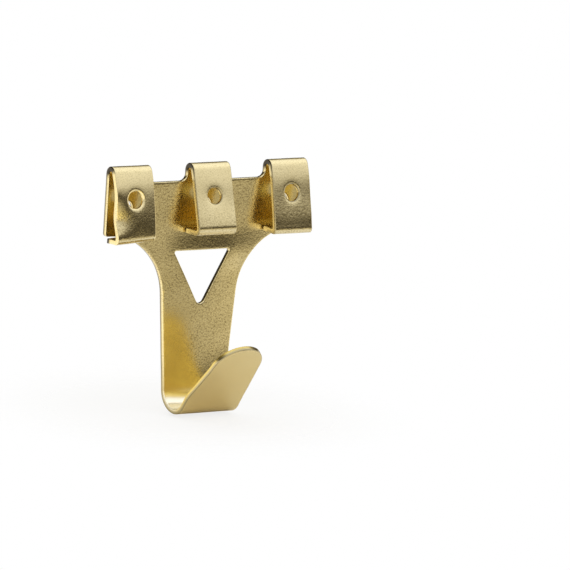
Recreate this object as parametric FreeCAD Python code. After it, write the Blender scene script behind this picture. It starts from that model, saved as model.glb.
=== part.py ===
import FreeCAD, Part
import math
import os
from FreeCAD import Matrix, Vector

# A three-nail picture hook: one piece of sheet steel, stamped flat, then folded.
# Millimetres. The back lies on the wall in the plane y = 0, the front faces -Y, +Z is up,
# x = 0 is the middle and z = 0 is the lower edge of the wide nail plate.

# Sheet and nail plate
SHEET = 0.75
PLATE_TOP = 7.75
PLATE_CORNER = 0.5

# Nail tabs, folded over the front of the plate: left, middle and right
TAB_COUNT = 3
TAB_WIDTH = 6.55
TAB_PITCH = 13.65
TAB_TOP = 10.5
TAB_ROOT_FILLET = 1.0
FOLD_RADIUS = 0.45
FLAP_LEANS = (13.3, 16.9, 13.3)
FLAP_BOWS = (15.0, 2.0, 8.0)
FLAP_LENGTHS = (9.25, 8.55, 8.6)
FOOT_RADIUS = 0.3
FOOT_TURN = 106.0
FOOT_GAP = 0.3

# Nail holes, punched square through the flap and through the plate behind it
NAIL_HOLE_RADIUS = 1.2
NAIL_HOLE_DROP = 3.95
NAIL_SLOPE = 30.0

# Shank, with round shoulders under the plate and a straight taper down to the lip
SHOULDER_FLAT = 0.82
SHANK_HALF_WIDTH = 6.43
TAPER = 4.45

# Three-cornered window in the shank
WINDOW_TOP = -2.65
WINDOW_HALF_WIDTH = 4.88
WINDOW_APEX = -11.48
WINDOW_APEX_RADIUS = 0.8
WINDOW_CORNER_RADIUS = 0.25

# Hook: the bend at the bottom of the shank and the lip that rises from it
BEND_HEIGHT = -23.3
BEND_RADIUS = 2.5
LIP_LEAN = 40.0
LIP_LENGTH = 13.5

# Worked out from the sizes above
MID = SHEET / 2
TAB_ROOT = PLATE_TOP / 2
PLATE_HALF_WIDTH = TAB_PITCH * (TAB_COUNT - 1) / 2 + TAB_WIDTH / 2
TAPER_SLOPE = math.tan(math.radians(TAPER))
SHOULDER_CENTRE = PLATE_HALF_WIDTH - SHOULDER_FLAT
SHOULDER_RADIUS = (SHOULDER_CENTRE - SHANK_HALF_WIDTH) * math.cos(math.radians(TAPER))
BEND_MID_RADIUS = BEND_RADIUS + MID
BEND_TURN = 180.0 - LIP_LEAN
PUNCH_LENGTH = 3 * SHEET
TOUCH = 1e-4


def half_width(run):
    """Half the strip's width, at a run along the sheet below the shoulders."""
    return SHANK_HALF_WIDTH - run * TAPER_SLOPE


def in_plane(x, z, y=0.0):
    """A point of the plate's plane."""
    return Vector(x, y, z)


def line(a, b):
    """A straight edge."""
    return Part.LineSegment(a, b).toShape()


def arc(a, b, c):
    """A round edge from a through b to c."""
    return Part.Arc(a, b, c).toShape()


def face_of(edges):
    """The flat face inside a closed chain of edges."""
    return Part.Face(Part.Wire(Part.__sortEdges__(edges)))


def strip(start, heading, runs, width):
    """A strip of the sheet, seen from the side: straights and bends along its middle, then its width.

    The heading is in degrees from +Y towards +Z. A run is a length, or an inner radius and a turn.
    """
    sides = {1: [], -1: []}
    point = Vector(0, *start)
    for run in runs:
        along = math.radians(heading)
        ahead = Vector(0, math.cos(along), math.sin(along))
        left = Vector(0, -math.sin(along), math.cos(along))
        if isinstance(run, tuple):
            radius, turn = run
            sense = math.copysign(1, turn)
            centre = point + left * (sense * (radius + MID))
            spokes = []
            for share in (0, 0.5, 1):
                swing = math.radians(turn * share)
                spokes.append(ahead * (sense * math.sin(swing)) - left * (sense * math.cos(swing)))
            for side, edges in sides.items():
                reach = radius + MID - sense * side * MID
                edges.append(arc(*[centre + spoke * reach for spoke in spokes]))
            point = centre + spokes[-1] * (radius + MID)
            heading += turn
        else:
            for side, edges in sides.items():
                offset = left * (side * MID)
                edges.append(line(point + offset, point + ahead * run + offset))
            point = point + ahead * run
    first = [edges[0].firstVertex().Point for edges in sides.values()]
    last = [edges[-1].lastVertex().Point for edges in sides.values()]
    face = face_of(sides[1] + sides[-1] + [line(*first), line(*last)])
    face.translate(Vector(-width / 2, 0, 0))
    return face.extrude(Vector(width, 0, 0))


def flat_plate():
    """The flat of the sheet: the nail plate, its shoulders and the tapering shank."""
    lean = math.radians(TAPER)
    middle = (math.radians(90) + math.pi - lean) / 2
    foot = half_width(-SHOULDER_RADIUS - BEND_HEIGHT)

    def shoulder(side, angle):
        return in_plane(side * (SHOULDER_CENTRE + SHOULDER_RADIUS * math.cos(angle)),
                        SHOULDER_RADIUS * (math.sin(angle) - 1))

    edges = [line(in_plane(-PLATE_HALF_WIDTH, PLATE_TOP), in_plane(PLATE_HALF_WIDTH, PLATE_TOP)),
             line(in_plane(-foot, BEND_HEIGHT), in_plane(foot, BEND_HEIGHT))]
    for side in (-1, 1):
        upper = shoulder(side, math.radians(90))
        lower = shoulder(side, math.pi - lean)
        corner = in_plane(side * PLATE_HALF_WIDTH, 0)
        edges.append(line(in_plane(side * PLATE_HALF_WIDTH, PLATE_TOP), corner))
        edges.append(line(corner, upper))
        edges.append(arc(upper, shoulder(side, middle), lower))
        edges.append(line(lower, in_plane(side * foot, BEND_HEIGHT)))
    return face_of(edges).extrude(Vector(0, -SHEET, 0))


def course(runs):
    """Side view (y, z) of where the middle of a tab ends up after the given runs, and its heading there."""
    y, z, heading = -MID, TAB_ROOT, 90.0
    for run in runs:
        along = math.radians(heading)
        if isinstance(run, tuple):
            radius, turn = run
            heading += turn
            y += (radius + MID) * (math.sin(math.radians(heading)) - math.sin(along))
            z -= (radius + MID) * (math.cos(math.radians(heading)) - math.cos(along))
        else:
            y += run * math.cos(along)
            z += run * math.sin(along)
    return y, z, heading


def flap_runs(lean, bow, length, share=1.0):
    """A tab's runs up from the plate, over the fold and down a share of its flap, which bows outwards."""
    rise = TAB_TOP - SHEET - FOLD_RADIUS - TAB_ROOT
    return [rise, (FOLD_RADIUS, 180.0 - lean - bow / 2), (length / math.radians(bow) - MID, bow * share)]


def tab(place, lean, bow, length):
    """One nail tab: up from the plate, over the fold, down the flap and back in at its foot."""
    runs = flap_runs(lean, bow, length) + [(FOOT_RADIUS, FOOT_TURN - bow / 2)]
    y, z, heading = course(runs)
    along = math.radians(heading)
    foot = (-SHEET - FOOT_GAP - y - MID * abs(math.sin(along))) / math.cos(along)
    solid = strip((-MID, TAB_ROOT), 90.0, runs + [foot], TAB_WIDTH)
    solid.translate(Vector(place, 0, 0))
    return solid


def nail_punch(place, out):
    """A round punch at a place on the sheet, square to it."""
    return Part.makeCylinder(NAIL_HOLE_RADIUS, PUNCH_LENGTH, place - out * (PUNCH_LENGTH / 2), out)


def nail_holes(place, lean, bow, length):
    """The two punches for one nail: through the flap, and through the plate behind it."""
    y, z, heading = course(flap_runs(lean, bow, length, NAIL_HOLE_DROP / length))
    along = math.radians(heading)
    out = Vector(0, math.sin(along), -math.cos(along))
    face = Vector(place, y, z) + out * MID
    exit_z = face.z + (face.y + MID) * math.tan(math.radians(NAIL_SLOPE))
    return [nail_punch(face, out), nail_punch(Vector(place, -MID, exit_z), Vector(0, -1, 0))]


def window():
    """The punch for the three-cornered window, point down, with a round at each corner."""
    front = (PUNCH_LENGTH - SHEET) / 2
    corners = [in_plane(-WINDOW_HALF_WIDTH, WINDOW_TOP, front),
               in_plane(0, WINDOW_APEX, front),
               in_plane(WINDOW_HALF_WIDTH, WINDOW_TOP, front)]
    radii = (WINDOW_CORNER_RADIUS, WINDOW_APEX_RADIUS, WINDOW_CORNER_RADIUS)
    edges = []
    ends = []
    for index, radius in enumerate(radii):
        here = corners[index]
        back = (corners[index - 1] - here).normalize()
        ahead = (corners[(index + 1) % len(corners)] - here).normalize()
        half = back.getAngle(ahead) / 2
        reach = radius / math.tan(half)
        middle = here + (back + ahead).normalize() * (radius / math.sin(half) - radius)
        ends.append((here + back * reach, here + ahead * reach))
        edges.append(arc(ends[-1][0], middle, ends[-1][1]))
    for index in range(len(corners)):
        edges.append(line(ends[index - 1][1], ends[index][0]))
    return face_of(edges).extrude(Vector(0, -PUNCH_LENGTH, 0))


def hook_bend():
    """The bend under the shank. Its cut edges wind inwards as the strip tapers round it."""
    start = -SHOULDER_RADIUS - BEND_HEIGHT
    width = 2 * half_width(start)
    bend = strip((-MID, BEND_HEIGHT), 270.0, [(BEND_RADIUS, -BEND_TURN)], width)
    pitch = 2 * math.pi * BEND_MID_RADIUS * TAPER_SLOPE
    height = pitch * BEND_TURN / 360
    radii = (BEND_RADIUS - MID, BEND_RADIUS + SHEET + MID)
    spirals = [Part.makeHelix(pitch, height, radius) for radius in radii]
    waste = Part.makeRuledSurface(*spirals).extrude(Vector(0, 0, -width))
    waste.transformShape(Matrix(0, 0, -1, width / 2,
                                1, 0, 0, -SHEET - BEND_RADIUS,
                                0, -1, 0, BEND_HEIGHT,
                                0, 0, 0, 1))
    return bend.cut([waste, waste.mirror(Vector(0, 0, 0), Vector(1, 0, 0))])


def lip():
    """The flat lip beyond the bend, tapering to a full round tip."""
    start = -SHOULDER_RADIUS - BEND_HEIGHT + BEND_MID_RADIUS * math.radians(BEND_TURN)
    lean = math.radians(TAPER)
    tip = half_width(start + LIP_LENGTH) * math.cos(lean) / (1 - math.sin(lean))
    side_x = tip * math.cos(lean)
    side_y = LIP_LENGTH - tip + tip * math.sin(lean)
    root = half_width(start)
    edges = [line(Vector(-root, 0, -MID), Vector(root, 0, -MID)),
             line(Vector(root, 0, -MID), Vector(side_x, side_y, -MID)),
             line(Vector(-root, 0, -MID), Vector(-side_x, side_y, -MID)),
             arc(Vector(side_x, side_y, -MID), Vector(0, LIP_LENGTH, -MID), Vector(-side_x, side_y, -MID))]
    solid = face_of(edges).extrude(Vector(0, 0, SHEET))
    out = math.sin(math.radians(LIP_LEAN))
    up = math.cos(math.radians(LIP_LEAN))
    base_y = -SHEET - BEND_RADIUS - BEND_MID_RADIUS * up
    base_z = BEND_HEIGHT - BEND_MID_RADIUS * out
    solid.transformShape(Matrix(1, 0, 0, 0,
                                0, -out, -up, base_y,
                                0, up, -out, base_z,
                                0, 0, 0, 1))
    return solid


def corners_at(solid, places):
    """The edges that run through the plate's thickness at the given (x, z) places."""
    found = []
    for edge in solid.Edges:
        a, b = [vertex.Point for vertex in (edge.firstVertex(), edge.lastVertex())]
        upright = abs(a.y - b.y) > MID and abs(a.x - b.x) + abs(a.z - b.z) < TOUCH
        if upright and any(abs(a.x - x) + abs(a.z - z) < TOUCH for x, z in places):
            found.append(edge)
    return found


def picture_hook():
    """The whole sheet: plate, tabs, hook and lip in one, then its corners, window and nail holes."""
    places = [TAB_PITCH * (index - (TAB_COUNT - 1) / 2) for index in range(TAB_COUNT)]
    flaps = list(zip(places, FLAP_LEANS, FLAP_BOWS, FLAP_LENGTHS))
    pieces = [tab(*flap) for flap in flaps]
    sheet = flat_plate().fuse(pieces + [hook_bend(), lip()]).removeSplitter()
    roots = [(place + side * TAB_WIDTH / 2, PLATE_TOP) for place in places for side in (-1, 1)]
    sheet = sheet.makeFillet(TAB_ROOT_FILLET, corners_at(sheet, roots[1:-1]))
    ends = [(-PLATE_HALF_WIDTH, 0), (PLATE_HALF_WIDTH, 0)]
    sheet = sheet.makeFillet(PLATE_CORNER, corners_at(sheet, ends))
    punches = [window()]
    for flap in flaps:
        punches += nail_holes(*flap)
    return sheet.cut(punches).removeSplitter().Solids[0]


os.makedirs("parts", exist_ok=True)
picture_hook().exportStep("parts/picture_hook.step")
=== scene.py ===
import math

import bpy
import numpy as np
from mathutils import Matrix, Vector
from mathutils.geometry import delaunay_2d_cdt


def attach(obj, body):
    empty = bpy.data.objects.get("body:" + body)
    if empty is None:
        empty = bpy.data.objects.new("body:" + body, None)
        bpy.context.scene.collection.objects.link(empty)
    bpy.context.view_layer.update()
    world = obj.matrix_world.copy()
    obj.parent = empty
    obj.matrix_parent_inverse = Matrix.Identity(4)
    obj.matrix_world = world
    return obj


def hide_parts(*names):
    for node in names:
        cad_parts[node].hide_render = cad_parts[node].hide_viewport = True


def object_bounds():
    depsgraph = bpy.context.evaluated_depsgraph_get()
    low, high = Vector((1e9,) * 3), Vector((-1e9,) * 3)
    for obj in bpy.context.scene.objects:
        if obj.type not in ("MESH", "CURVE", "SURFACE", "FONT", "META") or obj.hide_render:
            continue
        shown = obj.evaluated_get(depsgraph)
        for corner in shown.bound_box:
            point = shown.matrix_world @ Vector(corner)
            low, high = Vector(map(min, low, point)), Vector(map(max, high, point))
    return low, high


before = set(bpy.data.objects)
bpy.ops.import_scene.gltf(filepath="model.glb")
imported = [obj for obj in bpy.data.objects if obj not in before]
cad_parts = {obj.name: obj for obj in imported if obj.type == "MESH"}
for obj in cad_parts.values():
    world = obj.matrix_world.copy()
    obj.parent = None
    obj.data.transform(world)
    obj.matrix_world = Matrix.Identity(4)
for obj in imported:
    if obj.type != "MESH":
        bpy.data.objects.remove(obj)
cad_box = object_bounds()

# The blank: the hook as it leaves the stamping press, still flat. It is mild steel sheet, and the die rolls
# its cut edges over. Sizes are in millimetres and degrees, with x across the sheet and s up along it, and
# s = 0 at the lower edge of the nail plate. The leans, bows and lengths of the three flaps run left to right.
SHEET = 0.75
MID = SHEET / 2
PLATE_TOP = 7.75
PLATE_CORNER = 0.5
TAB_WIDTH = 6.55
TAB_PITCH = 13.65
TAB_PLACES = (-TAB_PITCH, 0.0, TAB_PITCH)
TAB_ROOT_FILLET = 1.0
TAB_END_CORNER = 0.3
FOLD_LINE = 9.3
FOLD_RADIUS = 0.45
FLAP_LEANS = (13.3, 16.9, 13.3)
FLAP_BOWS = (15.0, 2.0, 8.0)
FLAP_LENGTHS = (9.25, 8.55, 8.6)
FOOT_RADIUS = 0.3
FOOT_TURN = 106.0
FOOT_GAP = 0.3
NAIL_HOLE_RADIUS = 1.2
NAIL_HOLE_DROP = 3.95
NAIL_SLOPE = 30.0
PLATE_HALF_WIDTH = TAB_PITCH + TAB_WIDTH / 2
SHOULDER_FLAT = 0.82
SHOULDER_CENTRE = PLATE_HALF_WIDTH - SHOULDER_FLAT
SHANK_HALF_WIDTH = 6.43
TAPER = 4.45
SHOULDER_RADIUS = (SHOULDER_CENTRE - SHANK_HALF_WIDTH) * math.cos(math.radians(TAPER))
WINDOW_TOP = -2.65
WINDOW_HALF_WIDTH = 4.88
WINDOW_APEX = -11.48
WINDOW_APEX_RADIUS = 0.8
WINDOW_CORNER_RADIUS = 0.25
BEND_HEIGHT = -23.3
BEND_RADIUS = 2.5
LIP_LEAN = 40.0
LIP_LENGTH = 13.5
EDGE_ROLL = 0.13
HOLE_ROLLS = (0.36, 0.2, 0.28)
EXIT_ROLL = 0.13
OUTLINE_STEP = 0.15
GRID_STEP = 0.21
SAME_POINT = 1e-5
BATCHES = 80


def carried(run, depth, start, heading, runs):
    """Side view (y, z) of points at a run along a folded strip: each bend or straight adds its chord as far
    as the run reaches into it, then the depth is laid off square to the strip, to the left of its course."""
    y = np.full_like(run, start[0])
    z = np.full_like(run, start[1])
    turned = np.full_like(run, math.radians(heading))
    done = 0.0
    for length, turn in runs:
        into = np.clip(run - done, 0.0, length)
        if turn:
            rate = math.radians(turn) / length
            y += (np.sin(turned + rate * into) - np.sin(turned)) / rate
            z -= (np.cos(turned + rate * into) - np.cos(turned)) / rate
            turned = turned + rate * into
        else:
            y += into * np.cos(turned)
            z += into * np.sin(turned)
        done += length
    return y - depth * np.sin(turned), z + depth * np.cos(turned)


def fold_runs(lean, bow, length):
    """The bends and straights of one tab beyond its fold line, each as a length along the sheet's middle
    and a turn in degrees: over the fold, down the bowed flap, round the foot, and in to the foot gap."""
    turns = (180.0 - lean - bow / 2, bow, FOOT_TURN - bow / 2)
    over_fold = (FOLD_RADIUS + MID) * math.radians(turns[0])
    round_foot = (FOOT_RADIUS + MID) * math.radians(turns[2])
    lengths = (over_fold, length, round_foot)
    runs = list(zip(lengths, turns))
    reach = carried(np.array([sum(lengths)]), 0.0, (-MID, FOLD_LINE), 90.0, runs)[0][0]
    heading = math.radians(90.0 + sum(turns))
    foot = (-SHEET - FOOT_GAP - reach - MID * abs(math.sin(heading))) / math.cos(heading)
    return runs + [(foot, 0.0)]


def exit_height(runs):
    """Height of the hole behind a flap's hole: down the nail's slope from the flap's face to the middle of
    the plate."""
    y, z = carried(np.array([runs[0][0] + NAIL_HOLE_DROP]), -MID, (-MID, FOLD_LINE), 90.0, runs)
    return z[0] + (y[0] + MID) * math.tan(math.radians(NAIL_SLOPE))


def outline(arcs):
    """A closed outline as points: each arc, given as centre, radius and two angles, then a straight line
    from its end to the next arc's start, all at about the same step."""
    rounds = []
    for x, s, radius, first, last in arcs:
        count = max(4, math.ceil(radius * math.radians(abs(last - first)) / OUTLINE_STEP))
        turn = np.radians(np.linspace(first, last, count + 1))
        rounds.append(np.column_stack((x + radius * np.cos(turn), s + radius * np.sin(turn))))
    course = []
    for here, ahead in zip(rounds, rounds[1:] + rounds[:1]):
        gap = ahead[0] - here[-1]
        shares = np.linspace(0, 1, math.ceil(np.linalg.norm(gap) / OUTLINE_STEP) + 1)[1:-1, None]
        course += [here, here[-1] + gap * shares]
    points = np.vstack(course)
    moved = np.linalg.norm(points - np.roll(points, 1, 0), axis=1)
    return points[moved > SAME_POINT]


def away_from_metal(points):
    """Unit direction out of the sheet at each point of an outline: the right-hand side of its course."""
    course = np.roll(points, -1, 0) - np.roll(points, 1, 0)
    side = np.column_stack((course[:, 1], -course[:, 0]))
    return side / np.linalg.norm(side, axis=1, keepdims=True)


def in_metal(points, outlines):
    """Whether each point lies in the sheet: a line from it to the right crosses the outlines an odd number
    of times."""
    found = []
    for some in np.array_split(points, BATCHES):
        x, s = some[:, :1], some[:, 1:]
        crossed = np.zeros(len(some), int)
        for a in outlines:
            b = np.roll(a, -1, 0)
            rise = b[:, 1] - a[:, 1]
            spans = (a[:, 1] > s) != (b[:, 1] > s)
            at = a[:, 0] + (s - a[:, 1]) * (b[:, 0] - a[:, 0]) / np.where(rise == 0, 1.0, rise)
            crossed += (spans & (x < at)).sum(1)
        found.append(crossed % 2 == 1)
    return np.concatenate(found)


def off_edges(points, outlines):
    """Distance of each point from the nearest outline point: the least root of the summed squares."""
    rim = np.vstack(outlines)
    return np.concatenate([
        np.sqrt(((some[:, None] - rim[None]) ** 2).sum(2).min(1))
        for some in np.array_split(points, 2 * BATCHES)
    ])


tab_runs = [fold_runs(*flap) for flap in zip(FLAP_LEANS, FLAP_BOWS, FLAP_LENGTHS)]
tab_ends = [FOLD_LINE + sum(run for run, turn in runs) for runs in tab_runs]
bend_length = (BEND_RADIUS + MID) * math.radians(180.0 - LIP_LEAN)
tip_s = BEND_HEIGHT - bend_length - LIP_LENGTH
tip_half = SHANK_HALF_WIDTH - (-SHOULDER_RADIUS - tip_s) * math.tan(math.radians(TAPER))
tip_radius = tip_half * math.cos(math.radians(TAPER)) / (1 - math.sin(math.radians(TAPER)))

rim_arcs = [
    (0.0, tip_s + tip_radius, tip_radius, 180.0 + TAPER, 360.0 - TAPER),
    (SHOULDER_CENTRE, -SHOULDER_RADIUS, SHOULDER_RADIUS, 180.0 - TAPER, 90.0),
    (PLATE_HALF_WIDTH - PLATE_CORNER, PLATE_CORNER, PLATE_CORNER, -90.0, 0.0),
]
for place, end in reversed(list(zip(TAB_PLACES, tab_ends))):
    inner = TAB_WIDTH / 2 - TAB_END_CORNER
    root = TAB_WIDTH / 2 + TAB_ROOT_FILLET
    if place < TAB_PLACES[-1]:
        rim_arcs.append((place + root, PLATE_TOP + TAB_ROOT_FILLET, TAB_ROOT_FILLET, 270.0, 180.0))
    rim_arcs.append((place + inner, end - TAB_END_CORNER, TAB_END_CORNER, 0.0, 90.0))
    rim_arcs.append((place - inner, end - TAB_END_CORNER, TAB_END_CORNER, 90.0, 180.0))
    if place > TAB_PLACES[0]:
        rim_arcs.append((place - root, PLATE_TOP + TAB_ROOT_FILLET, TAB_ROOT_FILLET, 0.0, -90.0))
rim_arcs += [
    (-PLATE_HALF_WIDTH + PLATE_CORNER, PLATE_CORNER, PLATE_CORNER, 180.0, 270.0),
    (-SHOULDER_CENTRE, -SHOULDER_RADIUS, SHOULDER_RADIUS, 90.0, TAPER),
]

side_slope = math.degrees(math.atan2(WINDOW_TOP - WINDOW_APEX, WINDOW_HALF_WIDTH))
side_lean = 90.0 - side_slope
apex_reach = WINDOW_APEX_RADIUS / math.cos(math.radians(side_slope))
corner_reach = WINDOW_CORNER_RADIUS / math.tan(math.radians(side_slope / 2))
corner_x = WINDOW_HALF_WIDTH - corner_reach
corner_s = WINDOW_TOP - WINDOW_CORNER_RADIUS
window_arcs = [
    (0.0, WINDOW_APEX + apex_reach, WINDOW_APEX_RADIUS, 360.0 - side_lean, 180.0 + side_lean),
    (-corner_x, corner_s, WINDOW_CORNER_RADIUS, 180.0 + side_lean, 90.0),
    (corner_x, corner_s, WINDOW_CORNER_RADIUS, 90.0, -side_lean),
]
rims = [outline(rim_arcs), outline(window_arcs)]
rolls = [EDGE_ROLL, EDGE_ROLL]
hole_places = []
for place, runs, roll in zip(TAB_PLACES, tab_runs, HOLE_ROLLS):
    for s, edge in ((FOLD_LINE + runs[0][0] + NAIL_HOLE_DROP, roll), (exit_height(runs), EXIT_ROLL)):
        halves = [(place, s, NAIL_HOLE_RADIUS, 360.0, 180.0), (place, s, NAIL_HOLE_RADIUS, 180.0, 0.0)]
        rims.append(outline(halves))
        rolls.append(edge)
        hole_places.append((place, s))

# The folding: the press carries the flat blank round its bends, with the middle of the sheet keeping its
# length. The tabs fold over the front and turn in at the foot, and the shank bends up into the lip.
ROLL_STEPS = 4
EDGE_CLEARANCE = 0.6 * GRID_STEP
MERGE_WITHIN = 1e-7

# Pressed sheet is never quite true. These say how far it bulges, in millimetres, with places along a flap as
# shares of its length. A wave is a height, its radians per millimetre across and along, and where it starts.
WAVES = ((0.006, 0.9, 0.5, 0.7), (0.005, -0.6, 1.1, 2.1))
HOLE_DISH = 0.03
HOLE_DISH_REACH = 0.5
CROWN = 0.24
CROWN_TILT = 0.05
CROWN_LEAST = 0.05
CROWN_MIDDLE = 2.0
CROWN_HALF_WIDTH = 7.0
CROWN_HEIGHT = -3.2
CROWN_REACH = 2.5
SHANK_CROWN = 0.4
SHANK_CROWN_FROM = 3.0
SHANK_CROWN_FULL = -8.5
SHANK_CROWN_END = BEND_HEIGHT + 1.0
BEND_EASE = 0.52
BEND_EASE_LENGTH = 7.0
BEND_EASE_SIDES = (-4.0, 6.0)
BEND_FADE = 4.0
LIP_RIDGE = 0.055
LIP_RIDGE_PLACE = 0.2
LIP_RIDGE_ROUND = 0.2
LIP_RIDGE_TILT = 0.85
LIP_RIDGE_START = (-1.5, 1.5)
LIP_RIDGE_END = (8.5, 2.5)
LEFT_FLAP_PUFF = 0.15
LEFT_FLAP_SET = 0.22
LEFT_FLAP_SET_FULL = 0.75
LEFT_FOOT_FADE = 2.0
LEFT_FLAP_CURL = 0.6
LEFT_FLAP_CURL_FROM = (0.35, 0.2)
LEFT_FLAP_CURL_SKEW = 1.35
FLAP_WAVES = (0.0, 0.03, 0.045)
FLAP_WAVE_LENGTH = 0.75
FLAP_WAVE_COUNT = 1.25
FLAP_WAVE_LEFT = 0.3
FOOT_DROPS = ((0.11, 0.34), (0.0, 0.0), (0.3, 0.0))
FOOT_CORNERS = (0.0, 0.0, 0.26)

# The finish and the painted bounce light vary over the sheet. These are shares of the full effect, and
# places and lengths on the blank.
PEEL_ON_HOOK = 0.12
PEEL_LOST_AT_TABS = 0.6
PEEL_LOST_RUBBED = 0.7
RUBBED_ACROSS = (-0.5, -2.5)
RUBBED_DOWN = (-9.0, -13.0)
STRETCH_OUTER_TABS = 9.0
STRETCH_MIDDLE_TAB = 12.5
STRETCH_FADE = 5.0
# Share of the painted bounce light on the plate behind the tabs.
PAINTED_BOUNCE_BEHIND_TABS = 0.2
CRAZED_MIDDLE = FOLD_LINE + 1.0
CRAZED_REACH = (1.5, 0.9)
TORN_FROM = 0.06
TORN_FULL = 0.14
TORN_LOST_ON_HOOK = 0.5
TORN_LOST_ON_FLAPS = 0.45


def passed(value, first, last):
    """How far a value has come from a first to a last, as a share held between 0 and 1."""
    return np.clip((value - first) / (last - first), 0.0, 1.0)


def eased(share):
    """A share with soft ends: three times its square less twice its cube."""
    return share * share * (3 - 2 * share)


def down_flap(s, runs):
    """Share of the way down a flap, from the end of its fold to the start of its foot."""
    fold_end = FOLD_LINE + runs[0][0]
    return passed(s, fold_end, fold_end + runs[1][0])


def plate_swell(x, s):
    """A crown over the window's top, a bell curve in height that is fuller to the right and dies away at the
    sides; a parabola across the shank; and an ease into the bend, as the square of the way there."""
    fuller = np.maximum(0.5 + CROWN_TILT * x, CROWN_LEAST)
    fuller = fuller / (1.0 + ((x - CROWN_MIDDLE) / CROWN_HALF_WIDTH) ** 4)
    over_window = CROWN * fuller * np.exp(-(((s - CROWN_HEIGHT) / CROWN_REACH) ** 2))
    on_shank = passed(s, SHANK_CROWN_FROM, SHANK_CROWN_FULL)
    on_shank = on_shank * passed(s, SHANK_CROWN_END - BEND_FADE, SHANK_CROWN_END)
    down_shank = SHANK_CROWN * np.maximum(1.0 - (x / SHANK_HALF_WIDTH) ** 2, 0.0) * eased(on_shank)
    to_bend = passed(s, BEND_HEIGHT + BEND_EASE_LENGTH, BEND_HEIGHT) ** 2
    to_bend = to_bend * passed(s, BEND_HEIGHT - BEND_FADE, BEND_HEIGHT)
    return over_window + down_shank + BEND_EASE * passed(x, *BEND_EASE_SIDES) * to_bend


def lip_swell(x, s):
    """A soft ridge up the outside of the lip: a rounded corner between two slopes, the left one steep and the
    right one near level, that fades out at the bend and towards the tip."""
    beyond = BEND_HEIGHT - bend_length - s
    off = x - LIP_RIDGE_PLACE
    slopes = np.hypot(off, LIP_RIDGE_ROUND) - LIP_RIDGE_TILT * off
    return LIP_RIDGE * slopes * passed(beyond, *LIP_RIDGE_START) * passed(beyond, *LIP_RIDGE_END)


def left_flap_swell(x, s):
    """The left flap's own shape: it puffs out to its left as a parabola down its length, is set in towards
    its foot, and curls in at its left edge as one squared sine wave."""
    down = down_flap(s, tab_runs[0])
    left = passed(x, TAB_PLACES[0] + TAB_WIDTH / 2, TAB_PLACES[0] - TAB_WIDTH / 2)
    puff = LEFT_FLAP_PUFF * left * 4 * down * (1 - down)
    set_in = LEFT_FLAP_SET * eased(passed(down, 0.0, LEFT_FLAP_SET_FULL)) * (x < TAB_PLACES[0] + TAB_WIDTH)
    set_in = set_in * passed(s, tab_ends[0], tab_ends[0] - LEFT_FOOT_FADE)
    from_left, from_top = LEFT_FLAP_CURL_FROM
    hump = np.sin(np.pi * passed(down, from_top, 1.0) ** LEFT_FLAP_CURL_SKEW) ** 2
    curl = LEFT_FLAP_CURL * passed(left, from_left, 1.0) ** 2 * hump
    return set_in + curl - puff


def swell(flat):
    """Unevenness of the pressed sheet, in millimetres to the front of the blank, which is the inside of a
    folded tab: slow sine waves, a bell-shaped dish round each hole in the flaps, a sine wave down the flaps
    that is fuller to the right, and the swells of the plate, the lip and the left flap."""
    x, s = flat.T
    bulge = plate_swell(x, s) + lip_swell(x, s) + left_flap_swell(x, s)
    for height, turn_across, turn_along, turn_at_start in WAVES:
        bulge = bulge + height * np.sin(turn_across * x + turn_along * s + turn_at_start)
    for place, runs, wave, (hole_x, hole_s) in zip(TAB_PLACES, tab_runs, FLAP_WAVES, hole_places[::2]):
        off_hole = np.maximum(np.hypot(x - hole_x, s - hole_s) - NAIL_HOLE_RADIUS, 0.0)
        bulge = bulge + HOLE_DISH * np.exp(-((off_hole / HOLE_DISH_REACH) ** 2))
        waves_down = np.minimum(down_flap(s, runs) / FLAP_WAVE_LENGTH, FLAP_WAVE_COUNT)
        rightward = passed(x, place - TAB_WIDTH / 2, place + TAB_WIDTH / 2)
        fuller = FLAP_WAVE_LEFT + (1 - FLAP_WAVE_LEFT) * rightward
        bulge = bulge - wave * fuller * (np.abs(x - place) < TAB_WIDTH) * np.sin(2 * np.pi * waves_down)
    return bulge


def folded(flat, depth):
    """The blank's points, at a depth to the front of the sheet's middle, carried to where the folds put them.
    A foot hangs lower by its drop, and by its skew at the left, as the square of the way down the flap. A
    coined foot has the outside of its bend pushed out to a crisper corner, as a squared sine round it."""
    x, s = flat.T
    depth = depth + swell(flat)
    y = -MID - depth
    z = s.copy()
    for place, runs, (drop, skew), corner in zip(TAB_PLACES, tab_runs, FOOT_DROPS, FOOT_CORNERS):
        part = (s > FOLD_LINE) & (np.abs(x - place) < TAB_PITCH / 2)
        foot_start = FOLD_LINE + runs[0][0] + runs[1][0]
        round_foot = passed(s[part], foot_start, foot_start + runs[2][0])
        outer = passed(depth[part], MID, -MID)
        coined = depth[part] - corner * outer * np.sin(np.pi * round_foot) ** 2
        y[part], z[part] = carried(s[part] - FOLD_LINE, coined, (-MID, FOLD_LINE), 90.0, runs)
        leftward = (place - x[part]) / TAB_WIDTH + 0.5
        z[part] -= down_flap(s[part], runs) ** 2 * (drop + skew * leftward)
    part = s < BEND_HEIGHT
    hook_runs = [(bend_length, LIP_LEAN - 180.0), (LIP_LENGTH, 0.0)]
    y[part], z[part] = carried(BEND_HEIGHT - s[part], -depth[part], (-MID, BEND_HEIGHT), 270.0, hook_runs)
    return np.column_stack((x, y, z))


def off_tabs(x):
    """Distance across the sheet from the middle line of the nearest tab."""
    return np.min([np.abs(x - place) for place in TAB_PLACES], axis=0)


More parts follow.
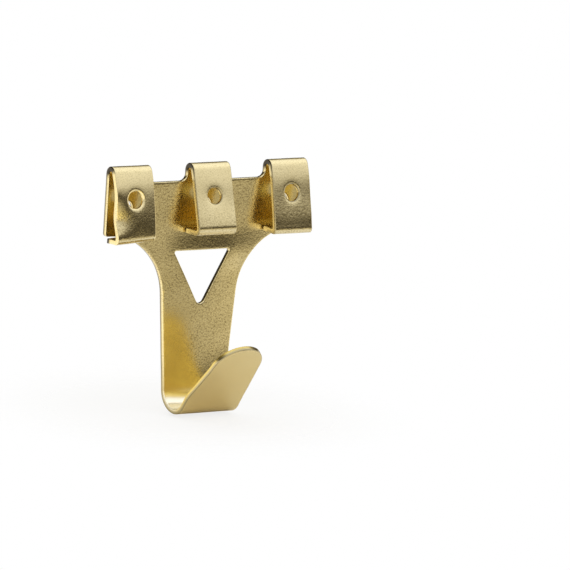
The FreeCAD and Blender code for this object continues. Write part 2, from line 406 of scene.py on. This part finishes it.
def peel_share(flat, front):
    """How much orange peel shows: all of it on the open plate, and little on the bend and the lip. Shares of
    it are taken off inside the tabs, where their folds stretch the sheet, behind them, and on the left of the
    shank, which is rubbed smooth."""
    x, s = flat.T
    kept = np.maximum(passed(s, BEND_HEIGHT, BEND_HEIGHT + 2.0), PEEL_ON_HOOK)
    inside = front * passed(s, FOLD_LINE - 1.0, FOLD_LINE + 1.0)
    smooth_to = FOLD_LINE + np.where(np.abs(x) < TAB_WIDTH, STRETCH_MIDDLE_TAB, STRETCH_OUTER_TABS)
    stretched = passed(s, FOLD_LINE, FOLD_LINE + 0.5) * passed(s, smooth_to, smooth_to - STRETCH_FADE)
    behind = front * passed(off_tabs(x), TAB_WIDTH / 2 + 0.6, TAB_WIDTH / 2 - 0.4) * passed(s, -0.5, 1.0)
    for smoothed in (inside, stretched, behind):
        kept = kept * (1 - PEEL_LOST_AT_TABS * smoothed)
    return kept * (1 - PEEL_LOST_RUBBED * passed(x, *RUBBED_ACROSS) * passed(s, *RUBBED_DOWN))


def painted_highlight_share(flat, front):
    """How much painted highlight the face takes, pale cream for the bright light that the hollow of the bend
    mirrors: all in the hollow of the bend, fading at both ends of it, and nothing elsewhere."""
    into = (BEND_HEIGHT - flat[:, 1]) / bend_length
    return front * passed(into, 0.0, 0.15) * passed(into, 0.8, 0.6)


def painted_bounce_share(flat, front):
    """How much painted bounce light the face takes, a deeper gold that stands in for light bounced about the
    gaps: full inside the tabs and inside the lip, a fifth on the plate behind the tabs, and none on the open
    faces."""
    x, s = flat.T
    tabs = passed(off_tabs(x), TAB_WIDTH / 2 + 0.3, TAB_WIDTH / 2 - 0.5) * passed(s, 0.5, 2.0)
    tabs = tabs * np.maximum(passed(s, FOLD_LINE - 1.0, FOLD_LINE + 1.0), PAINTED_BOUNCE_BEHIND_TABS)
    return front * np.maximum(tabs, passed(s, BEND_HEIGHT - 5.0, BEND_HEIGHT - 8.0))


def torn_and_foot_shade_share(rim, depth):
    """How dark the cut edge is at a depth: all of it where a fold crazes it, a torn line along the back of
    the cut, which is fainter on the flaps and the hook, and painted shade on the end of the left foot, which
    lies in shadow. The torn line leaves the left flap's edges and the feet clean."""
    x, s = rim.T
    crazed = passed(np.abs(s - CRAZED_MIDDLE), *CRAZED_REACH)
    on_left_tab = x < TAB_PLACES[0] + TAB_WIDTH
    # Painted shade: the end of the left foot, which lies in shadow, is darkened.
    left_foot_shade = on_left_tab * passed(s, tab_ends[0] - 1.0, tab_ends[0] - 0.6)
    on_feet = np.max([
        passed(s, end - 1.4, end - 0.8) * (np.abs(x - place) < TAB_WIDTH)
        for place, end in zip(TAB_PLACES, tab_ends)
    ], axis=0)
    line = passed(-depth, TORN_FROM, TORN_FULL) * (1 - on_feet) * ~(on_left_tab & (s > FOLD_LINE + 1.2))
    line = line * (1 - TORN_LOST_ON_HOOK * passed(s, BEND_HEIGHT + 3.0, BEND_HEIGHT))
    line = line * (1 - TORN_LOST_ON_FLAPS * passed(s, FOLD_LINE + 2.0, FOLD_LINE + 3.5))
    return np.max([crazed, line, left_foot_shade], axis=0)


ways_out = [away_from_metal(rim) for rim in rims]
face_rims = [rim - out * roll for rim, out, roll in zip(rims, ways_out, rolls)]
low = np.min(rims[0], axis=0)
high = np.max(rims[0], axis=0)
across = np.arange(low[0] + GRID_STEP / 2, high[0], GRID_STEP)
along = np.arange(low[1] + GRID_STEP / 2, high[1], GRID_STEP)
grid = np.stack(np.meshgrid(across, along), axis=-1).reshape(-1, 2)
grid = grid[in_metal(grid, face_rims)]
grid = grid[off_edges(grid, face_rims) > EDGE_CLEARANCE]
starts = np.cumsum([0] + [len(rim) for rim in face_rims])
flat = np.vstack(face_rims + [grid])
rim_edges = [
    (int(first + index), int(first + (index + 1) % len(rim)))
    for first, rim in zip(starts, face_rims) for index in range(len(rim))
]
made = delaunay_2d_cdt([Vector(point) for point in flat], rim_edges, [], 0, MERGE_WITHIN)
origin = np.array([ids[0] for ids in made[3]])
triangles = origin[np.array(made[2])]
a, b, c = (flat[triangles[:, corner]] for corner in range(3))
triangles = triangles[in_metal((a + b + c) / 3, face_rims)]
a, b, c = (flat[triangles[:, corner]] for corner in range(3))
turned = (b - a)[:, 0] * (c - a)[:, 1] - (b - a)[:, 1] * (c - a)[:, 0] < 0
triangles[turned] = triangles[turned][:, ::-1]

points, peels, painted_bounces, painted_highlights, tears_and_foot_shade = [], [], [], [], []
for front, depth in ((1.0, MID), (0.0, -MID)):
    points.append(folded(flat, np.full(len(flat), depth)))
    peels.append(peel_share(flat, front))
    painted_bounces.append(painted_bounce_share(flat, front))
    painted_highlights.append(painted_highlight_share(flat, front))
    tears_and_foot_shade.append(np.zeros(len(flat)))
faces = [triangles, triangles[:, ::-1] + len(flat)]
count = 2 * len(flat)
quarter = np.radians(90.0 * np.arange(1, ROLL_STEPS + 1) / ROLL_STEPS)

# The left flap's hole, the first after the outline and the window, is burnished bright; other cuts are torn.
cuts = [1.0, 1.0, 0.0] + [1.0] * (len(hole_places) - 1)
for first, rim, out, roll, cut in zip(starts, rims, ways_out, rolls, cuts):
    insets = roll * (1 - np.sin(quarter))
    depths = MID - roll * (1 - np.cos(quarter))
    rows = [np.arange(first, first + len(rim))]
    for inset, depth in zip(np.r_[insets, insets[::-1]], np.r_[depths, -depths[::-1]]):
        points.append(folded(rim - out * inset, np.full(len(rim), depth)))
        peels.append(peel_share(rim, 0.5))
        painted_bounces.append(painted_bounce_share(rim, float(depth > 0)))
        painted_highlights.append(painted_highlight_share(rim, float(depth > 0)))
        tears_and_foot_shade.append(cut * torn_and_foot_shade_share(rim, depth))
        rows.append(np.arange(count, count + len(rim)))
        count += len(rim)
    rows.append(rows[0] + len(flat))
    for near, far in zip(rows, rows[1:]):
        near_next, far_next = np.roll(near, -1), np.roll(far, -1)
        faces.append(np.column_stack((near, far, far_next)))
        faces.append(np.column_stack((near, far_next, near_next)))

METRES_PER_MM = 0.001
sheet_mesh = bpy.data.meshes.new("folded_sheet")
sheet_mesh.from_pydata((np.vstack(points) * METRES_PER_MM).tolist(), [], np.vstack(faces).tolist())
sheet_mesh.update()
sheet_mesh.shade_smooth()
for name, values in (("peel", peels), ("torn_and_foot_shade", tears_and_foot_shade), ("painted_bounce", painted_bounces), ("painted_highlight", painted_highlights)):
    sheet_mesh.attributes.new(name, "FLOAT", "POINT").data.foreach_set("value", np.concatenate(values))
folded_sheet = bpy.data.objects.new("folded_sheet", sheet_mesh)
bpy.context.scene.collection.objects.link(folded_sheet)
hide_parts("picture_hook")
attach(folded_sheet, "root")

# The plating: bright brass electroplate, a few micrometres over the steel. It is glossy, but follows the
# orange-peel grain of the pressed sheet, so reflections break up into fine speckle. Its colour is painted a
# deeper gold in the recesses as painted bounce light, and pale cream in the hollow of the bend as a painted
# highlight. Torn cut edges are left bare and dark, and the end of the left foot is darkened as painted shade.
PLATING = "#E8DBB2"
PLATING_CLOUD = "#E4D5A6"
# Painted bounce light: a deeper gold in the recesses, standing in for light bounced between the faces.
PAINTED_BOUNCE_GOLD = "#DCC262"
# Painted highlight: pale cream in the hollow of the bend.
PAINTED_HIGHLIGHT_CREAM = "#F4EEDA"
PITTED = "#85733F"
# Bare dark steel on torn cut edges, and painted shade on the end of the left foot.
TORN_BARE_AND_FOOT_SHADE = "#261D0C"

# Real grain and pits are about a tenth of a millimetre across; both are drawn coarser, so that they show.
GRAIN_SIZE = 0.3
PIT_SIZE = 0.2
CLOUD_SIZE = 4.0
GRAIN_DEPTH = 0.022


def linear(hex_colour):
    """An sRGB hex colour as linear red, green, blue and a full alpha: the sRGB curve undone."""
    parts = [int(hex_colour[i:i + 2], 16) / 255 for i in (1, 3, 5)]
    return [((p + 0.055) / 1.055) ** 2.4 if p > 0.04045 else p / 12.92 for p in parts] + [1.0]


def add(tree, kind, sockets=None, **settings):
    """Adds a node with its settings; a socket is given a value, or linked from another node's output."""
    node = tree.nodes.new(kind)
    for name, value in settings.items():
        setattr(node, name, value)
    for name, value in (sockets or {}).items():
        if isinstance(value, bpy.types.NodeSocket):
            tree.links.new(value, node.inputs[name])
        else:
            node.inputs[name].default_value = value
    return node


def per_metre(size_mm):
    """Pattern scale for a feature of this size on Object coordinates, which are metres: one over the size."""
    return 1000.0 / size_mm


plating = bpy.data.materials.new("bright_brass_electroplate")
plating.use_nodes = True
tree = plating.node_tree
tree.nodes.clear()
coords = add(tree, "ShaderNodeTexCoord").outputs["Object"]
grain = add(tree, "ShaderNodeTexNoise", {
    "Vector": coords, "Scale": per_metre(GRAIN_SIZE), "Detail": 2.0, "Roughness": 0.65,
})
pits = add(tree, "ShaderNodeTexNoise", {"Vector": coords, "Scale": per_metre(PIT_SIZE), "Detail": 1.0})
cloud = add(tree, "ShaderNodeTexNoise", {"Vector": coords, "Scale": per_metre(CLOUD_SIZE), "Detail": 3.0})
peel, torn_and_foot_shade, painted_bounce, painted_highlight = (
    add(tree, "ShaderNodeAttribute", attribute_name=name).outputs["Fac"]
    for name in ("peel", "torn_and_foot_shade", "painted_bounce", "painted_highlight")
)
pitted = add(tree, "ShaderNodeMapRange", {
    "Value": pits.outputs["Fac"], "From Min": 0.48, "From Max": 0.72, "To Min": 0.0, "To Max": 0.62,
})
pitted = add(tree, "ShaderNodeMath", {0: pitted.outputs["Result"], 1: peel}, operation="MULTIPLY")
tone = linear(PLATING)
# The pits, the dark cut edges, the painted bounce light and the painted highlight are mixed into the colour
# here.
layers = (
    (cloud.outputs["Fac"], PLATING_CLOUD), (painted_bounce, PAINTED_BOUNCE_GOLD), (painted_highlight, PAINTED_HIGHLIGHT_CREAM),
    (pitted.outputs["Value"], PITTED), (torn_and_foot_shade, TORN_BARE_AND_FOOT_SHADE),
)
for share, colour in layers:
    layer = add(tree, "ShaderNodeMix", {"Factor": share, "A": tone, "B": linear(colour)}, data_type="RGBA")
    tone = layer.outputs["Result"]
gloss = add(tree, "ShaderNodeMapRange", {"Value": peel, "To Min": 0.25, "To Max": 0.19})
relief = add(tree, "ShaderNodeMath", {0: peel, 1: GRAIN_DEPTH * METRES_PER_MM}, operation="MULTIPLY")
bump = add(tree, "ShaderNodeBump", {
    "Height": grain.outputs["Fac"], "Strength": 1.0, "Distance": relief.outputs["Value"],
})
brass = add(tree, "ShaderNodeBsdfPrincipled", {
    "Base Color": tone, "Metallic": 1.0,
    "Roughness": gloss.outputs["Result"], "Normal": bump.outputs["Normal"],
    "Coat Weight": 0.35, "Coat Roughness": 0.16,
})
add(tree, "ShaderNodeOutputMaterial", {"Surface": brass.outputs["BSDF"]})
sheet_mesh.materials.append(plating)

# The camera stands to the left of the hook, a metre off and a little above it, and is turned a few degrees
# about its own axis.
camera = bpy.data.cameras.new("camera")
camera.sensor_width = 36.0
camera.lens = 429.47
camera.clip_start = 0.01
camera.clip_end = 100.0
right = Vector((0.83155, -0.55222, 0.05979))
up = Vector((0.05047, 0.18232, 0.98194))
back = right.cross(up)
eye = Vector((-0.543147, -0.821877, 0.172423))
viewer = bpy.data.objects.new("viewer", camera)
viewer.matrix_world = Matrix.Translation(eye) @ Matrix((right, up, back)).transposed().to_4x4()
bpy.context.scene.collection.objects.link(viewer)
bpy.context.scene.camera = viewer
bpy.context.scene.view_settings.view_transform = "Standard"

# The studio floor: matt white paper under the hook, which takes a soft shadow and fades out into the white
# surround. It glows a little where the camera looks at it, and is warmer as the metal mirrors it.
FLOOR_DROP = 0.0004
FLOOR_REACH = 1.2
FLOOR_FADE = (0.012, 0.036)
FLOOR_GLOW = 0.8
FLOOR_SEEN = "#FAFAFA"
FLOOR_MIRRORED = "#F4ECD6"
floor_mesh = bpy.data.meshes.new("studio_floor")
floor_z = cad_box[0].z - FLOOR_DROP
floor_corners = [(-1, -1), (1, -1), (1, 1), (-1, 1)]
floor_mesh.from_pydata(
    [(x * FLOOR_REACH, y * FLOOR_REACH, floor_z) for x, y in floor_corners], [], [(0, 1, 2, 3)])
studio_floor = bpy.data.objects.new("studio_floor", floor_mesh)
bpy.context.scene.collection.objects.link(studio_floor)
paper = bpy.data.materials.new("matt_white_paper")
paper.use_nodes = True
tree = paper.node_tree
tree.nodes.clear()
spot = add(tree, "ShaderNodeVectorMath", {
    0: add(tree, "ShaderNodeTexCoord").outputs["Object"], 1: (1.0, 1.0, 0.0),
}, operation="MULTIPLY")
far = add(tree, "ShaderNodeVectorMath", {0: spot.outputs["Vector"]}, operation="LENGTH")
fade = add(tree, "ShaderNodeMapRange", {
    "Value": far.outputs["Value"], "From Min": FLOOR_FADE[0], "From Max": FLOOR_FADE[1],
}, interpolation_type="SMOOTHSTEP")
watched = add(tree, "ShaderNodeLightPath").outputs["Is Camera Ray"]
paper_tone = add(tree, "ShaderNodeMix", {
    "Factor": watched, "A": linear(FLOOR_MIRRORED), "B": linear(FLOOR_SEEN),
}, data_type="RGBA")
matt = add(tree, "ShaderNodeBsdfDiffuse", {"Color": paper_tone.outputs["Result"]})
glow = add(tree, "ShaderNodeEmission", {"Color": (1.0, 1.0, 1.0, 1.0), "Strength": 1.0})
looked_at = add(tree, "ShaderNodeMath", {0: watched, 1: FLOOR_GLOW}, operation="MULTIPLY")
pale = add(tree, "ShaderNodeMixShader", {
    0: looked_at.outputs["Value"], 1: matt.outputs["BSDF"], 2: glow.outputs["Emission"],
})
clear = add(tree, "ShaderNodeBsdfTransparent")
ground = add(tree, "ShaderNodeMixShader", {
    0: fade.outputs["Result"], 1: pale.outputs["Shader"], 2: clear.outputs["BSDF"],
})
add(tree, "ShaderNodeOutputMaterial", {"Surface": ground.outputs["Shader"]})
floor_mesh.materials.append(paper)

# The studio's light: a bright soft sky over a dim room, whose dark band gives the metal its darker tones,
# with a warm card to the left and a pale one to the right. Each band of sky is degrees above the horizon, a
# colour and a strength.
FRONT_SKY = [
    (-90, "#F2F0EA", 1.0), (-26, "#F2F0EA", 1.0), (-16, "#D8CFB6", 1.0), (-10, "#D2C7A6", 1.0),
    (-5, "#857B62", 1.0), (-2, "#1C160C", 1.0), (4, "#1C160C", 1.0), (7, "#544B3A", 1.0),
    (10, "#8E8776", 1.0), (14, "#C4BFB0", 1.0), (19, "#F8F6F0", 1.02), (35, "#FAF8F2", 1.1),
    (50, "#F6F6F4", 1.4), (90, "#F6F6F4", 1.4),
]
REAR_SKY = [
    (-90, "#F2F0EA", 1.0), (-28, "#F2F0EA", 1.0), (-18, "#8C8268", 1.0), (-8, "#3E3727", 1.0),
    (26, "#3E3727", 1.0), (40, "#A59A72", 1.0), (50, "#F6F6F4", 1.4), (90, "#F6F6F4", 1.4),
]
PEAK = 1.6
LEFT_CARD_WARM = "#EAD894"
LEFT_CARD_PALE = "#F2ECDC"
RIGHT_CARD = "#EEE6D0"
CARD_TOP = (14, 6)
world = bpy.data.worlds.new("white_studio")
bpy.context.scene.world = world
world.use_nodes = True
tree = world.node_tree
tree.nodes.clear()
toward = add(tree, "ShaderNodeTexCoord").outputs["Generated"]
axes = add(tree, "ShaderNodeSeparateXYZ", {"Vector": toward})
height = add(tree, "ShaderNodeMath", {0: axes.outputs["Z"]}, operation="ARCSINE")
level = add(tree, "ShaderNodeMapRange", {
    "Value": height.outputs["Value"], "From Min": -math.pi / 2, "From Max": math.pi / 2,
})
skies = []
for bands in (FRONT_SKY, REAR_SKY):
    sky = add(tree, "ShaderNodeValToRGB", {"Fac": level.outputs["Result"]})
    while len(sky.color_ramp.elements) < len(bands):
        sky.color_ramp.elements.new(0.5)
    for element, (degrees, colour, strength) in zip(sky.color_ramp.elements, bands):
        element.position = (degrees + 90) / 180
        element.color = [part * strength / PEAK for part in linear(colour)]
    skies.append(sky.outputs["Color"])
front_sky, rear_sky = skies

# The front sky is brighter to the right, and gives way to the rear one beside the hook.
right_gain = add(tree, "ShaderNodeMapRange", {
    "Value": axes.outputs["X"], "From Min": 0.4, "From Max": 0.75, "To Min": 0.9, "To Max": 1.25,
})
sided = add(tree, "ShaderNodeVectorMath", {
    0: front_sky, "Scale": right_gain.outputs["Result"],
}, operation="SCALE")
front = add(tree, "ShaderNodeMapRange", {
    "Value": axes.outputs["Y"], "From Min": 0.25, "From Max": -0.25,
}, interpolation_type="SMOOTHSTEP")
shade = add(tree, "ShaderNodeMix", {
    "Factor": front.outputs["Result"], "A": rear_sky, "B": sided.outputs["Vector"],
}, data_type="RGBA")

# The left card is warm at its near edge, and paler to the left and towards the wall.
card_top = add(tree, "ShaderNodeMapRange", {
    "Value": height.outputs["Value"],
    "From Min": math.radians(CARD_TOP[0]), "From Max": math.radians(CARD_TOP[1]),
}, interpolation_type="SMOOTHSTEP")
left_side = add(tree, "ShaderNodeMapRange", {
    "Value": axes.outputs["X"], "From Min": 0.3, "From Max": 0.06,
}, interpolation_type="SMOOTHSTEP")
to_left = add(tree, "ShaderNodeMapRange", {"Value": axes.outputs["X"], "From Min": 0.1, "From Max": -0.15})
to_wall = add(tree, "ShaderNodeMapRange", {"Value": axes.outputs["Y"], "From Min": -0.2, "From Max": 0.1})
paleness = add(tree, "ShaderNodeMath", {
    0: to_left.outputs["Result"], 1: to_wall.outputs["Result"],
}, operation="MAXIMUM")
left_colour = add(tree, "ShaderNodeMix", {
    "Factor": paleness.outputs["Value"], "A": linear(LEFT_CARD_WARM), "B": linear(LEFT_CARD_PALE),
}, data_type="RGBA")
right_side = add(tree, "ShaderNodeMapRange", {
    "Value": axes.outputs["X"], "From Min": 0.78, "From Max": 0.93,
}, interpolation_type="SMOOTHSTEP")
lit = shade.outputs["Result"]
for side, colour in ((left_side, left_colour.outputs["Result"]), (right_side, linear(RIGHT_CARD))):
    card = add(tree, "ShaderNodeMath", {
        0: side.outputs["Result"], 1: card_top.outputs["Result"],
    }, operation="MULTIPLY")
    lit = add(tree, "ShaderNodeMix", {
        "Factor": card.outputs["Value"], "A": lit, "B": colour,
    }, data_type="RGBA").outputs["Result"]

# The white backdrop is what the camera sees, and what glancing reflections straight behind the hook meet.
studio = add(tree, "ShaderNodeBackground", {"Color": lit, "Strength": PEAK})
white = add(tree, "ShaderNodeBackground", {"Color": (1.0, 1.0, 1.0, 1.0), "Strength": 1.0})
ray = add(tree, "ShaderNodeLightPath")
ahead = add(tree, "ShaderNodeVectorMath", {0: toward, 1: -back}, operation="DOT_PRODUCT")
backdrop = add(tree, "ShaderNodeMapRange", {
    "Value": ahead.outputs["Value"], "From Min": 0.94, "From Max": 0.97,
}, interpolation_type="SMOOTHSTEP")
bounced = add(tree, "ShaderNodeMath", {
    0: ray.outputs["Is Glossy Ray"], 1: ray.outputs["Is Transmission Ray"],
}, operation="MAXIMUM")
mirrored = add(tree, "ShaderNodeMath", {
    0: bounced.outputs["Value"], 1: backdrop.outputs["Result"],
}, operation="MULTIPLY")
sees_white = add(tree, "ShaderNodeMath", {
    0: ray.outputs["Is Camera Ray"], 1: mirrored.outputs["Value"],
}, operation="MAXIMUM")
mixed = add(tree, "ShaderNodeMixShader", {
    0: sees_white.outputs["Value"], 1: studio.outputs["Background"], 2: white.outputs["Background"],
})
add(tree, "ShaderNodeOutputWorld", {"Surface": mixed.outputs["Shader"]})
